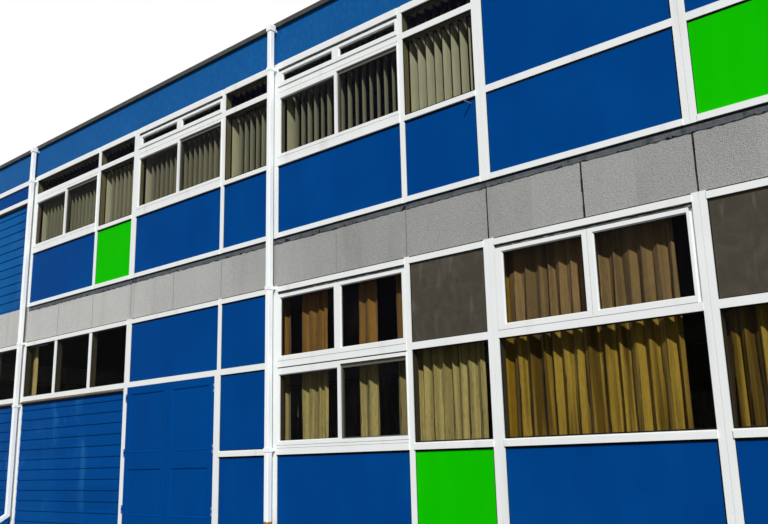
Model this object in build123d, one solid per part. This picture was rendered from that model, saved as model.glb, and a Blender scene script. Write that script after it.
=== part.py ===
from build123d import *
import os

# A two-storey school block from a light prefabricated building system.
# It stands on a planning grid of 3 ft 4 in; all lengths are millimetres.
# The long front looks towards -Y, the left end towards -X, and up is +Z.

# Plan
MODULE = 1016
LONG_UNITS = 6           # framed units along the front, three modules each
END_UNITS = 3            # framed units along each end
UNIT = 3 * MODULE
LENGTH = LONG_UNITS * UNIT
DEPTH = END_UNITS * UNIT

# Heights, stacked from the ground up
PLINTH = 150             # edge of the ground slab
RAIL = 72                # sills, transoms and the heads of the ground floor
BASE_RAIL = 58           # foot of the first-floor units
HEAD_RAIL = 82           # head of the first-floor units
GROUND_PANEL = 891
GROUND_LIGHT = 908
GROUND_TOP_LIGHT = 817
CONCRETE_HEIGHT = 586
UPPER_PANEL = 844
UPPER_LIGHT = 890
UPPER_TOP_LIGHT = 242
FASCIA_HEIGHT = 505
COPING_HEIGHT = 52
FLASHING_HEIGHT = 84
FLASHING_TURN = 26       # depth of the hollow under the frames

GROUND_SILL = PLINTH + RAIL + GROUND_PANEL           # undersides of the rails
GROUND_TRANSOM = GROUND_SILL + RAIL + GROUND_LIGHT
GROUND_HEAD = GROUND_TRANSOM + RAIL + GROUND_TOP_LIGHT
UPPER_BASE = GROUND_HEAD + RAIL + CONCRETE_HEIGHT
UPPER_SILL = UPPER_BASE + BASE_RAIL + UPPER_PANEL
UPPER_TRANSOM = UPPER_SILL + RAIL + UPPER_LIGHT
UPPER_HEAD = UPPER_TRANSOM + RAIL + UPPER_TOP_LIGHT
FASCIA_UNDER = UPPER_HEAD + HEAD_RAIL
COPING_UNDER = FASCIA_UNDER + FASCIA_HEIGHT

# Wall build-up, measured from the face of the frames
FRAME_DEPTH = 100
POST = 60                # a unit's own edge post; two stand together where units meet
POST_JOINT = 2           # open joint between the two
SINGLE = 66              # a post inside a unit
HEAD_PROUD = 6
HEAD_REBATE = 12         # for the sealant between the ground-floor heads and the concrete
TRANSOM_PROUD = 4
SILL_PROUD = 12
SILL_FALL = 16           # fall of the weathered top
SLIDER_SILL_FALL = 4     # the same under the sliding frames, which close the joint
PANEL_SET_BACK = 14
PANEL_THICK = 40
BOARD_SET_BACK = 10
CONCRETE_SET_BACK = 12
CONCRETE_THICK = 76
CONCRETE_JOINT = 12
FASCIA_SET_BACK = 6
FASCIA_THICK = 60
FASCIA_JOINT = 4
GLASS_SET_BACK = 16
GLASS_THICK = 6

# Floors and roof
FLOOR_THICK = 200
DECK_DROP = 120          # roof surface below the underside of the coping
DECK_THICK = 150
COPING_PROUD = 28
COPING_WIDTH = 130
COPING_JOINT = 4
COPING_FALL = 10

# Opening sashes in pairs: stiles at the left, in the middle and at the right, top rail, bottom rail,
# how far proud, and the gap left under the head
FANLIGHT_SASH = (84, 60, 30, 44, 60, 12, 46)
TOP_HUNG_SASH = (51, 52, 36, 46, 58, 8, 40)
SASH_OVER_PANE = (85, 57, 26, 46, 58, 8, 40)
SASH_SLACK = 30          # what the pair over the big pane leaves at its right, beside the usual clearance
SASH_LAP = 12            # thickness of the lap that closes that slack at the back
SASH_DEPTH = 44
SASH_CLEAR = 5
SASH_BEVEL = 9
PANE_THICK = 4
STOP_BACK = 44           # stops behind the gaps over the sashes
STOP_DROP = 56

# Sliding pairs: a planted frame with the right light on the inner track
SLIDER_LEFT = 40
SLIDER_RIGHT = 8
SLIDER_HEAD = 78
SLIDER_FOOT = 80
SLIDER_MIDDLE = 46
SLIDER_JOINT = 15        # open joint under the transom
SLIDER_PROUD = 9
SLIDER_DEPTH = 78
GROOVE_UP = 24           # groove along the foot of the frame
GROOVE_HIGH = 8
GROOVE_DEEP = 8
INNER_REVEAL = 36        # frame left above the inner light
INNER_HEAD = 44
INNER_FOOT = 12
INNER_SIDE = 22
INNER_SET_BACK = 12
INNER_DEPTH = 26

# Timber drips over the boarding
DRIP_HEIGHT = 42
DRIP_PROUD = 34

# Rainwater goods
PIPE = 65
PIPE_GAP = 45            # between the frames and the back of the pipe
PIPE_CORNER = 7
CAP_TOP = COPING_UNDER + 14
CAP_HEIGHT = 84
CAP_OVER = 9
OUTLET = 44
SOCKET_OVER = 5
SOCKET_HEIGHT = 46
LUG = 20
SHOE_TOP = PLINTH + 280
SHOE_DROP = 84           # straight part of the shoe above its bend
SHOE_THROW = 150
SHOE_WALL = 4
SHOE_MOUTH = 60
PIPE_LINES = {-3: GROUND_TRANSOM - 70, 3: GROUND_SILL + 55}      # module line: height of its lowest socket

# Double doors in the fourth unit of the front
LEFT_JAMB = 20
RIGHT_JAMB = 43
DOOR_CLEAR = 5
MEETING_GAP = 7
DOOR_THICK = 44
DOOR_SET_BACK = 4
STILE = 95
TOP_RAIL = 90
LOCK_RAIL = 213
LOCK_RAIL_UNDER = 849    # above the slab
BOTTOM_RAIL = 245
DOOR_PANEL_THICK = 12
DOOR_PANEL_SET_BACK = 7
HINGE_FLAP_INSET = 10    # from the back of the leaf
BEAD = 16
BEAD_PROUD = 3
HINGE_TOP = 145          # highest hinge's centre below the door head
HINGE_SPACING = 735
HINGE_LENGTH = 102
KNUCKLE_RADIUS = 7
KNUCKLE_OUT = 12         # axis of the pins in front of the leaf's face
KNUCKLE_PLAY = 0.6
PIN_RADIUS = 4
PIN_CLEAR = 0.05
FLAP = 2

# Blinds and curtains, as plain closed shapes
BLIND_CLEAR = 6          # behind the frames
BLIND_THICK = 128
CURTAIN_CLEAR = 30
CURTAIN_THICK = 90
BLIND_BACK = FRAME_DEPTH + BLIND_CLEAR
CURTAIN_BACK = FRAME_DEPTH + CURTAIN_CLEAR
SOFT_CLEAR = 0.3
SOFT_OVERLAP = 25        # how far curtains hang below the top of the sill
CORNER_CLEAR = 40        # from the inner face of the neighbouring wall
TRACK_WIDTH = 34
TRACK_HEIGHT = 30
BRACKET_WIDTH = 24
TRACK_RISE = 8           # underside of the tracks above the underside of the head

# Window stay fixed on the panel under one narrow light
STAY_UNIT = 4
STAY_FROM_POST = 67
STAY_UNDER_SILL = 56
STAY_LENGTH = 108
STAY_WIDTH = 14
STAY_THICK = 5
STAY_HOLE = 3
STAY_PITCH = 26

nodes = {}


def add(node, shape):
    nodes.setdefault(node, []).append(shape)


def block(x, y, z, across=Align.CENTER, out=Align.CENTER, up=Align.CENTER):
    return Box(x, y, z, align=(across, out, up))


class Side:
    # One face of the block. u runs to the right as seen from outside, v points outward from
    # the face of the frames and z is up.
    def __init__(self, length, place, corner):
        self.half = length / 2
        self.place = place
        self.corner = corner     # how far the frames stop short at each corner

    def put(self, node, shape):
        add(node, self.place * shape)

    def box(self, node, u0, u1, v0, v1, z0, z1):
        self.put(node, Pos(u0, -v0, z0) * block(u1 - u0, v1 - v0, z1 - z0, Align.MIN, Align.MAX, Align.MIN))

    def profile(self, node, u0, u1, points):
        # a section in v and z, run along the wall from u0 to u1
        face = make_face(Polyline([(-v, z) for v, z in points], close=True))
        self.put(node, Pos(u0, 0, 0) * extrude(Plane.YZ * face, u1 - u0))


FRONT = Side(LENGTH, Pos(0, -DEPTH / 2, 0), 0)
BACK = Side(LENGTH, Pos(0, DEPTH / 2, 0) * Rot(0, 0, 180), 0)
LEFT = Side(DEPTH, Pos(-LENGTH / 2, 0, 0) * Rot(0, 0, -90), FRAME_DEPTH)
RIGHT = Side(DEPTH, Pos(LENGTH / 2, 0, 0) * Rot(0, 0, 90), FRAME_DEPTH)
LONG_SIDES = (FRONT, BACK)
ENDS = (LEFT, RIGHT)


# Frame members

def rail(side, storey, u0, u1, z, proud=0, height=RAIL):
    side.box(storey + "_rails", u0, u1, -FRAME_DEPTH, proud, z, z + height)


def head_rail(side, storey, u0, u1, z, height=RAIL, rebate=0, drop=0):
    # the head of a unit: `rebate` is cut along its top edge, `drop` is a stop let down at its back
    top = z + height
    section = [(-FRAME_DEPTH, z - drop)]
    if drop:
        section += [(-STOP_BACK, z - drop), (-STOP_BACK, z)]
    section += [(HEAD_PROUD, z), (HEAD_PROUD, top - rebate)]
    if rebate:
        section += [(HEAD_PROUD - rebate, top - rebate), (HEAD_PROUD - rebate, top)]
    side.profile(storey + "_rails", u0, u1, section + [(-FRAME_DEPTH, top)])


def sill(side, storey, u0, u1, z, fall=SILL_FALL):
    # weathered top, square nose and a throat cut under the nose
    side.profile(storey + "_sills", u0, u1, [
        (-FRAME_DEPTH, z), (2, z), (4, z + 4), (SILL_PROUD - 4, z + 4), (SILL_PROUD - 3, z), (SILL_PROUD, z),
        (SILL_PROUD, z + RAIL - fall), (-24, z + RAIL), (-FRAME_DEPTH, z + RAIL)])


def drip(side, u0, u1, top):
    side.profile("timber_drips", u0, u1, [
        (-BOARD_SET_BACK, top - DRIP_HEIGHT), (DRIP_PROUD - 8, top - DRIP_HEIGHT),
        (DRIP_PROUD, top - DRIP_HEIGHT + 8), (DRIP_PROUD, top - 20), (-BOARD_SET_BACK, top)])


def panel(side, node, u0, u1, z0, z1):
    side.box(node, u0, u1, -PANEL_SET_BACK - PANEL_THICK, -PANEL_SET_BACK, z0, z1)


def glass(side, node, u0, u1, z0, z1):
    side.box(node, u0, u1, -GLASS_SET_BACK - GLASS_THICK, -GLASS_SET_BACK, z0, z1)


def unit_edges(side, index, lines, joints):
    # edges of the posts at each line: what a unit brings on the left and on the right of the line
    start = -side.half + index * UNIT
    edges = []
    for line in lines:
        u = start + line * MODULE
        if line in joints:
            edges.append((u - POST, u - POST_JOINT / 2, u + POST_JOINT / 2, u + POST))
        else:
            edges.append((u - SINGLE / 2, u, u, u + SINGLE / 2))
    low, high = side.corner - side.half, side.half - side.corner
    first, last = edges[0], edges[-1]
    if first[2] < low:
        edges[0] = (0, 0, low + POST_JOINT / 2, low + POST)
    if last[1] > high:
        edges[-1] = (high - POST, high - POST_JOINT / 2, 0, 0)
    return edges


def posts(side, storey, edges, z0, z1, first_z0=None):
    # `first_z0` is the foot of the unit's left post where that isn't the same as the others'
    node = storey + "_posts"
    for i, (a, b, c, d) in enumerate(edges):
        foot = first_z0 if first_z0 and i == 0 else z0
        if i == 0:
            spans = [(c, d)]
        elif i == len(edges) - 1:
            spans = [(a, b)]
        elif b == c:
            spans = [(a, d)]
        else:
            spans = [(a, b), (c, d)]
        for u0, u1 in spans:
            side.box(node, u0, u1, -FRAME_DEPTH, 0, foot, z1)


def clear_spans(edges):
    return [(left[3], right[0]) for left, right in zip(edges[:-1], edges[1:])]


# Windows

def bevelled_opening(width, height, depth, bevel):
    # what is cut from a member's face: a straight sight line with a putty bevel in front
    hole = block(width, 3 * depth, height)
    mouth = Plane.XZ.offset(depth) * Rectangle(width + 2 * bevel, height + 2 * bevel)
    throat = Plane.XZ.offset(depth - 2 * bevel) * Rectangle(width, height)
    return hole + loft([mouth, throat])


def sash(side, node, u0, u1, z0, z1, left, right, top, foot, proud, lap=0):
    width, height = u1 - u0, z1 - z0
    sight_x, sight_z = width - left - right, height - top - foot
    centre = Pos((left - right) / 2, 0, (foot - top) / 2)
    ring = block(width, SASH_DEPTH, height)
    if lap:
        ring += Pos(width / 2, SASH_DEPTH / 2, 0) * block(2 * lap, SASH_LAP, height, out=Align.MAX)
    ring -= centre * bevelled_opening(sight_x, sight_z, SASH_DEPTH / 2, SASH_BEVEL)
    middle = Pos((u0 + u1) / 2, SASH_DEPTH / 2 - proud, (z0 + z1) / 2)
    side.put(node, middle * ring)
    pane = Pos(0, 2 * SASH_BEVEL - SASH_DEPTH / 2 + PANE_THICK / 2, 0) * block(sight_x, PANE_THICK, sight_z)
    side.put("sash_glass", middle * centre * pane)


def sash_pair(side, node, u0, u1, z0, z1, sizes, slack=0):
    # two sashes with equal panes side by side; they rest on the rail below and show a gap under the head
    left, inner, right, top, foot, proud, gap = sizes
    low, high = u0 + SASH_CLEAR, u1 - SASH_CLEAR - slack
    pane = (high - low - SASH_CLEAR - left - 2 * inner - right) / 2
    middle = low + left + pane + inner
    sash(side, node, low, middle, z0, z1 - gap, left, inner, top, foot, proud)
    lap = slack + SASH_CLEAR if slack else 0
    sash(side, node, middle + SASH_CLEAR, high, z0, z1 - gap, inner, right, top, foot, proud, lap)


def sliding_pair(side, u0, u1, z0, z1):
    # one planted frame under an open joint; its left light lies near the face and its right light
    # on the inner track
    width, height = u1 - u0, z1 - z0 - SLIDER_JOINT
    light = (width - SLIDER_LEFT - SLIDER_MIDDLE - SLIDER_RIGHT) / 2
    left_x = SLIDER_LEFT + (light - width) / 2
    right_x = (width - light) / 2 - SLIDER_RIGHT
    frame = block(width, SLIDER_DEPTH, height)
    frame -= Pos(0, -SLIDER_DEPTH / 2, GROOVE_UP - height / 2) * block(
        2 * width, 2 * GROOVE_DEEP, GROOVE_HIGH, up=Align.MIN)
    tall = height - SLIDER_HEAD - SLIDER_FOOT
    left_light = Pos(left_x, 0, (SLIDER_FOOT - SLIDER_HEAD) / 2)
    frame -= left_light * bevelled_opening(light, tall, SLIDER_DEPTH / 2, SASH_BEVEL)
    inner_foot = SLIDER_FOOT - INNER_FOOT
    inner_tall = height - INNER_REVEAL - inner_foot
    right_light = Pos(right_x, 0, (inner_foot - INNER_REVEAL) / 2)
    frame -= right_light * block(light, 2 * SLIDER_DEPTH, inner_tall)
    middle = Pos((u0 + u1) / 2, SLIDER_DEPTH / 2 - SLIDER_PROUD, z0 + height / 2)
    side.put("sliding_frames", middle * frame)
    pane = Pos(0, 2 * SASH_BEVEL - SLIDER_DEPTH / 2 + PANE_THICK / 2, 0) * block(light, PANE_THICK, tall)
    side.put("sash_glass", middle * left_light * pane)
    back = middle * right_light * Pos(0, SLIDER_PROUD - SLIDER_DEPTH / 2 + INNER_SET_BACK + INNER_DEPTH / 2, 0)
    sight = Pos(0, 0, (INNER_FOOT - INNER_HEAD) / 2)
    sight_x, sight_z = light - 2 * INNER_SIDE, inner_tall - INNER_HEAD - INNER_FOOT
    side.put("inner_lights", back * (block(light, INNER_DEPTH, inner_tall)
                                     - sight * block(sight_x, 2 * INNER_DEPTH, sight_z)))
    side.put("sash_glass", back * sight * block(sight_x, PANE_THICK, sight_z))


def track(side, node, u0, u1, middle_v, z):
    # a straight track on two brackets from the inner face of the head rail
    wall = -FRAME_DEPTH
    length = u1 - u0
    solid = Pos(u0, -middle_v, z) * block(length, TRACK_WIDTH, TRACK_HEIGHT, Align.MIN, Align.CENTER, Align.MIN)
    for u in (u0 + 0.12 * length, u1 - 0.12 * length):
        solid += Pos(u, -wall, z + TRACK_HEIGHT / 2) * block(
            BRACKET_WIDTH, wall - middle_v, TRACK_HEIGHT / 2, Align.CENTER, Align.MIN, Align.MIN)
    side.put(node, solid)


def inside_corners(side, u0, u1):
    reach = side.half - FRAME_DEPTH - CORNER_CLEAR
    return max(u0, -reach), min(u1, reach)


def blind(side, u0, u1):
    u0, u1 = inside_corners(side, u0, u1)
    under = UPPER_HEAD + TRACK_RISE
    track(side, "blind_rails", u0, u1, -BLIND_BACK - BLIND_THICK / 2, under)
    side.box("vertical_blinds", u0 + 6, u1 - 6, -BLIND_BACK - BLIND_THICK, -BLIND_BACK,
             UPPER_SILL + RAIL + SOFT_OVERLAP, under - SOFT_CLEAR)


def curtains(side, track_line, spans):
    # a track between two module lines, and the cloth that hangs from it
    under = GROUND_HEAD + TRACK_RISE
    u0, u1 = inside_corners(side, track_line[0] * MODULE, track_line[1] * MODULE)
    track(side, "curtain_tracks", u0, u1, -CURTAIN_BACK - CURTAIN_THICK / 2, under)
    for a, b in spans:
        a, b = inside_corners(side, a * MODULE, b * MODULE)
        side.box("curtains", a, b, -CURTAIN_BACK - CURTAIN_THICK, -CURTAIN_BACK,
                 GROUND_SILL + RAIL - SOFT_OVERLAP, under - SOFT_CLEAR)


# First-floor units

def first_floor_unit(side, index, kind, narrow_panel):
    storey = "first_floor"
    blue = "first_floor_blue_panels"
    lines = (0, 3) if kind == "boarded" else (0, 2, 3)
    joints = (0, 2, 3) if kind == "blank" else (0, 3)
    edges = unit_edges(side, index, lines, joints)
    posts(side, storey, edges, UPPER_BASE, FASCIA_UNDER)
    spans = clear_spans(edges)
    for i, (u0, u1) in enumerate(spans):
        over_sashes = kind == "fanlights" and i == 0
        head_rail(side, storey, u0, u1, UPPER_HEAD, HEAD_RAIL, drop=STOP_DROP if over_sashes else 0)
    if kind == "boarded":
        (u0, u1), = spans
        rail(side, storey, u0, u1, UPPER_TRANSOM)
        panel(side, blue, u0, u1, UPPER_TRANSOM + RAIL, UPPER_HEAD)
        side.box("first_floor_boarding", u0, u1, -FRAME_DEPTH, -BOARD_SET_BACK, UPPER_BASE, UPPER_TRANSOM)
        drip(side, u0, u1, UPPER_TRANSOM)
        return
    (w0, w1), (n0, n1) = spans
    for u0, u1 in spans:
        rail(side, storey, u0, u1, UPPER_BASE, HEAD_PROUD, BASE_RAIL)
    panel(side, blue, w0, w1, UPPER_BASE + BASE_RAIL, UPPER_SILL)
    panel(side, narrow_panel, n0, n1, UPPER_BASE + BASE_RAIL, UPPER_SILL)
    if kind == "blank":
        for u0, u1 in spans:
            rail(side, storey, u0, u1, UPPER_SILL)
            panel(side, blue, u0, u1, UPPER_SILL + RAIL, UPPER_HEAD)
        return
    sill(side, storey, w0, w1, UPPER_SILL, SLIDER_SILL_FALL)
    sill(side, storey, n0, n1, UPPER_SILL)
    for u0, u1 in spans:
        rail(side, storey, u0, u1, UPPER_TRANSOM)
        blind(side, u0, u1)
    glass(side, "first_floor_glass", n0, n1, UPPER_SILL + RAIL, UPPER_TRANSOM)
    glass(side, "first_floor_glass", n0, n1, UPPER_TRANSOM + RAIL, UPPER_HEAD)
    sliding_pair(side, w0, w1, UPPER_SILL + RAIL, UPPER_TRANSOM)
    if kind == "fixed_top":
        glass(side, "first_floor_glass", w0, w1, UPPER_TRANSOM + RAIL, UPPER_HEAD)
    else:
        sash_pair(side, "fanlight_sashes", w0, w1, UPPER_TRANSOM + RAIL, UPPER_HEAD, FANLIGHT_SASH)


# Ground-floor units

def ground_floor_unit(side, index, kind, narrow_panel):
    storey = "ground_floor"
    blue = "ground_floor_blue_panels"
    lines = (0, 3) if kind == "high_windows" else (0, 2, 3)
    joints = (0, 2, 3) if kind == "sashes_over_pane" else (0, 3)
    edges = unit_edges(side, index, lines, joints)
    # the left post of the door unit stops over the doors, where a thin jamb takes its place
    posts(side, storey, edges, PLINTH, GROUND_HEAD + RAIL, GROUND_TRANSOM if kind == "doors" else None)
    spans = clear_spans(edges)
    for i, (u0, u1) in enumerate(spans):
        over_sashes = kind in ("sash_rows", "sashes_over_pane") and i == 0
        head_rail(side, storey, u0, u1, GROUND_HEAD, rebate=HEAD_REBATE, drop=STOP_DROP if over_sashes else 0)
        rail(side, storey, u0, u1, GROUND_TRANSOM, TRANSOM_PROUD if over_sashes else 0)
    if kind == "high_windows":
        high_windows(side, index, spans[0])
        return
    (w0, w1), (n0, n1) = spans
    rail(side, storey, n0, n1, PLINTH)
    sill(side, storey, n0, n1, GROUND_SILL)
    panel(side, narrow_panel, n0, n1, PLINTH + RAIL, GROUND_SILL)
    if kind == "doors":
        panel(side, blue, w0, w1, GROUND_TRANSOM + RAIL, GROUND_HEAD)
        panel(side, blue, n0, n1, GROUND_TRANSOM + RAIL, GROUND_HEAD)
        panel(side, blue, n0, n1, GROUND_SILL + RAIL, GROUND_TRANSOM)
        doors(side, edges[0][2], w1)
        return
    rail(side, storey, w0, w1, PLINTH)
    sill(side, storey, w0, w1, GROUND_SILL, SLIDER_SILL_FALL if kind == "sash_rows" else SILL_FALL)
    panel(side, blue, w0, w1, PLINTH + RAIL, GROUND_SILL)
    glass(side, "ground_floor_glass", n0, n1, GROUND_SILL + RAIL, GROUND_TRANSOM)
    glass(side, "grey_panes", n0, n1, GROUND_TRANSOM + RAIL, GROUND_HEAD)
    top_row = (side, "top_hung_sashes", w0, w1, GROUND_TRANSOM + RAIL, GROUND_HEAD)
    if kind == "sash_rows":
        sash_pair(*top_row, TOP_HUNG_SASH)
        sliding_pair(side, w0, w1, GROUND_SILL + RAIL, GROUND_TRANSOM)
    else:
        sash_pair(*top_row, SASH_OVER_PANE, SASH_SLACK)
        glass(side, "ground_floor_glass", w0, w1, GROUND_SILL + RAIL, GROUND_TRANSOM)


def high_windows(side, index, span):
    # three lights over a boarded wall
    start = -side.half + index * UNIT
    marks = [span[0]]
    for line in (1, 2):
        u = start + line * MODULE
        a, b = u - SINGLE / 2, u + SINGLE / 2
        side.box("ground_floor_posts", a, b, -FRAME_DEPTH, 0, GROUND_TRANSOM + RAIL, GROUND_HEAD)
        marks += [a, b]
    marks.append(span[1])
    for a, b in zip(marks[0::2], marks[1::2]):
        glass(side, "ground_floor_glass", a, b, GROUND_TRANSOM + RAIL, GROUND_HEAD)
    side.box("ground_floor_boarding", *span, -FRAME_DEPTH, -BOARD_SET_BACK, PLINTH, GROUND_TRANSOM)
    drip(side, *span, GROUND_TRANSOM)


# Double doors

def doors(side, u0, u1):
    inner0, inner1 = u0 + LEFT_JAMB, u1 - RIGHT_JAMB
    foot, top = PLINTH + DOOR_CLEAR, GROUND_TRANSOM - DOOR_CLEAR
    for a, b in ((u0, inner0), (inner1, u1)):
        side.box("door_jamb_strips", a, b, -FRAME_DEPTH, 0, PLINTH, GROUND_TRANSOM)
    width = (inner1 - inner0 - 2 * DOOR_CLEAR - MEETING_GAP) / 2
    leaf(side, "left", inner0, 1, width, foot, top)
    leaf(side, "right", inner1, -1, width, foot, top)


def leaf(side, name, jamb, way, width, foot, top):
    # `way` is +1 where the leaf runs to the right of its hinges
    face = -DOOR_SET_BACK
    middle_v = face - DOOR_THICK / 2
    edge = jamb + way * DOOR_CLEAR
    low, high = sorted((edge, edge + way * width))
    lock_under = PLINTH + LOCK_RAIL_UNDER
    openings = ((foot + BOTTOM_RAIL, lock_under), (lock_under + LOCK_RAIL, top - TOP_RAIL))
    body = Pos((low + high) / 2, -middle_v, (foot + top) / 2) * block(width, DOOR_THICK, top - foot)
    for z0, z1 in openings:
        body -= Pos((low + high) / 2, -middle_v, (z0 + z1) / 2) * block(width - 2 * STILE, 2 * DOOR_THICK, z1 - z0)
    side.put("door_frame_" + name, body)
    panel_face = face - DOOR_PANEL_SET_BACK
    for z0, z1 in openings:
        side.box("door_panels_" + name, low + STILE, high - STILE, panel_face - DOOR_PANEL_THICK, panel_face, z0, z1)
        bead(side, "door_beads_" + name, low + STILE, high - STILE, z0, z1, panel_face, face + BEAD_PROUD)
    hinges(side, name, jamb, way, (jamb + edge) / 2, face)


def bead(side, node, u0, u1, z0, z1, v0, v1):
    # one moulded bead round a panel, sloping back towards it
    width, height, depth = u1 - u0, z1 - z0, v1 - v0
    solid = extrude(Plane.XZ * Rectangle(width, height), depth)
    inner = Plane.XZ * Rectangle(width - 2 * BEAD, height - 2 * BEAD)
    mouth = Plane.XZ.offset(depth) * Rectangle(width - BEAD, height - BEAD)
    side.put(node, Pos((u0 + u1) / 2, -v0, (z0 + z1) / 2) * (solid - loft([inner, mouth])))


def hinges(side, name, jamb, way, axis_u, face):
    # butt hinges: two knuckles and the pin stay with the frame, the middle knuckle with the leaf
    axis_v = face + KNUCKLE_OUT
    inner_v = face - DOOR_THICK + HINGE_FLAP_INSET
    third = HINGE_LENGTH / 3
    up = (Align.CENTER, Align.CENTER, Align.MIN)
    edge = jamb + way * DOOR_CLEAR

    def flap(u0, u1, z, height):
        low, high = sorted((u0, u1))
        return Pos(low, -inner_v, z) * block(high - low, axis_v - inner_v, height, Align.MIN, Align.MAX, Align.MIN)

    for i in range(3):
        base = GROUND_TRANSOM - HINGE_TOP - i * HINGE_SPACING - HINGE_LENGTH / 2
        fixed = Pos(axis_u, -axis_v, base) * Cylinder(PIN_RADIUS, HINGE_LENGTH, align=up)
        for z in (base, base + 2 * third):
            fixed += Pos(axis_u, -axis_v, z) * Cylinder(KNUCKLE_RADIUS, third, align=up)
            fixed += flap(jamb, jamb + way * FLAP, z, third)
        side.put("frame_hinges", fixed)
        z = base + third + KNUCKLE_PLAY
        short = third - 2 * KNUCKLE_PLAY
        moving = Pos(axis_u, -axis_v, z) * Cylinder(KNUCKLE_RADIUS, short, align=up)
        moving += flap(edge - way * FLAP, edge, z, short)
        moving -= Pos(axis_u, -axis_v, z - 1) * Cylinder(PIN_RADIUS + PIN_CLEAR, short + 2, align=up)
        side.put("door_hinges_" + name, moving)


# Bands, floors and roof

def lengths(side, edge, pitch, gap):
    # spans from -edge to edge, with open joints on every pitch of the planning grid
    cuts = [i * pitch - side.half for i in range(1, round(2 * side.half / pitch))]
    starts = [-edge] + [u + gap / 2 for u in cuts]
    ends = [u - gap / 2 for u in cuts] + [edge]
    return list(zip(starts, ends))


def band(node, set_back, thick, z0, z1, step, gap):
    # panels round the block: front and back run through, the ends fit between them
    for sides, reach, pitch in ((LONG_SIDES, set_back, step), (ENDS, set_back + thick + gap, min(step, UNIT))):
        for side in sides:
            for u0, u1 in lengths(side, side.half - reach, pitch, gap):
                side.box(node, u0, u1, -set_back - thick, -set_back, z0, z1)


def flashing(side, u0, u1):
    # sheet dressed over the head of the concrete: hollow under the frames, then bulging and lying back
    under = UPPER_BASE - FLASHING_HEIGHT
    side.profile("lead_flashing", u0, u1, [
        (-CONCRETE_SET_BACK, under), (-CONCRETE_SET_BACK + 5, under), (-2, UPPER_BASE - FLASHING_TURN - 8),
        (-2, UPPER_BASE - FLASHING_TURN), (-CONCRETE_SET_BACK + 2, UPPER_BASE - FLASHING_TURN + 8),
        (-CONCRETE_SET_BACK + 2, UPPER_BASE), (-CONCRETE_SET_BACK, UPPER_BASE)])


def slab(name, set_back, top, thick):
    add(name, Pos(0, 0, top) * block(LENGTH - 2 * set_back, DEPTH - 2 * set_back, thick, up=Align.MAX))


def coping():
    # folded metal capping in lengths, with a drip edge and a fall to the roof
    inner = COPING_PROUD - COPING_WIDTH
    top = COPING_UNDER + COPING_HEIGHT
    for sides, reach in ((LONG_SIDES, -COPING_PROUD), (ENDS, COPING_WIDTH - COPING_PROUD + COPING_JOINT)):
        for side in sides:
            for u0, u1 in lengths(side, side.half - reach, UNIT, COPING_JOINT):
                side.profile("coping", u0, u1, [
                    (inner, COPING_UNDER), (COPING_PROUD - 6, COPING_UNDER), (COPING_PROUD, COPING_UNDER - 12),
                    (COPING_PROUD, top), (inner, top - COPING_FALL)])


# Rainwater goods

def downpipe(side, u, low_socket):
    middle_v = PIPE_GAP + PIPE / 2
    run = CAP_TOP - CAP_HEIGHT - SHOE_TOP
    tube = extrude(RectangleRounded(PIPE, PIPE, PIPE_CORNER), run)
    side.put("downpipes", Pos(u, -middle_v, SHOE_TOP) * tube)
    cap(side, u, middle_v)
    for z in (low_socket, GROUND_HEAD + SOCKET_HEIGHT, UPPER_HEAD - 4):
        socket(side, u, middle_v, z)
    shoe(side, u, middle_v)


def cap(side, u, middle_v):
    # closed head over the pipe, fed by a square outlet through the fascia
    across = PIPE + 2 * CAP_OVER
    head = Pos(u, -middle_v, CAP_TOP) * block(across, across, CAP_HEIGHT, up=Align.MAX)
    head = chamfer(head.edges().group_by(Axis.Z)[-1], 6)
    reach = middle_v + FASCIA_SET_BACK
    head += Pos(u, FASCIA_SET_BACK, COPING_UNDER - 20) * block(
        OUTLET, reach, OUTLET, Align.CENTER, Align.MAX, Align.MAX)
    side.put("pipe_fittings", head)


def socket(side, u, middle_v, z):
    # a collar round the pipe with two lugs back to the posts
    across = PIPE + 2 * SOCKET_OVER
    ring = block(across, across, SOCKET_HEIGHT)
    for way in (-1, 1):
        ring += Pos(way * (across / 2 - LUG / 2), middle_v / 2, 0) * block(LUG, middle_v, SOCKET_HEIGHT - 20)
    bore = Pos(0, 0, -SOCKET_HEIGHT) * extrude(RectangleRounded(PIPE, PIPE, PIPE_CORNER), 2 * SOCKET_HEIGHT)
    side.put("pipe_fittings", Pos(u, -middle_v, z) * (ring - bore))


def shoe(side, u, middle_v):
    # bent outlet: the square section swept down and outward, open at the mouth
    top = Vector(0, 0, SHOE_TOP)
    bend = Vector(0, 0, SHOE_TOP - SHOE_DROP)
    mouth = Vector(0, -SHOE_THROW, SHOE_TOP - SHOE_DROP - SHOE_THROW * 0.62)
    path = Polyline([top, bend, mouth])
    section = Plane(origin=top, x_dir=(1, 0, 0), z_dir=(0, 0, -1)) * RectangleRounded(PIPE, PIPE, PIPE_CORNER)
    body = sweep(section, path, transition=Transition.RIGHT)
    way = (mouth - bend).normalized()
    inside = Plane(origin=mouth, x_dir=(1, 0, 0), z_dir=way)
    body -= extrude(inside * RectangleRounded(PIPE - 2 * SHOE_WALL, PIPE - 2 * SHOE_WALL, PIPE_CORNER - 3),
                    -SHOE_MOUTH)
    side.put("pipe_shoes", Pos(u, -middle_v, 0) * body)


def window_stay(side, index):
    # a flat bar with a row of peg holes, standing out from the panel under the sill
    u = -side.half + (index + 1) * UNIT - POST - STAY_FROM_POST
    bar = block(STAY_WIDTH, STAY_LENGTH, STAY_THICK, Align.CENTER, Align.MAX, Align.MAX)
    for i in range(3):
        bar -= Pos(0, i * STAY_PITCH - STAY_LENGTH + 16, 0) * Cylinder(STAY_HOLE, 3 * STAY_THICK)
    root = Pos(u, PANEL_SET_BACK, UPPER_SILL - STAY_UNDER_SILL)
    side.put("window_stay", root * bar)


# The whole block

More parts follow.
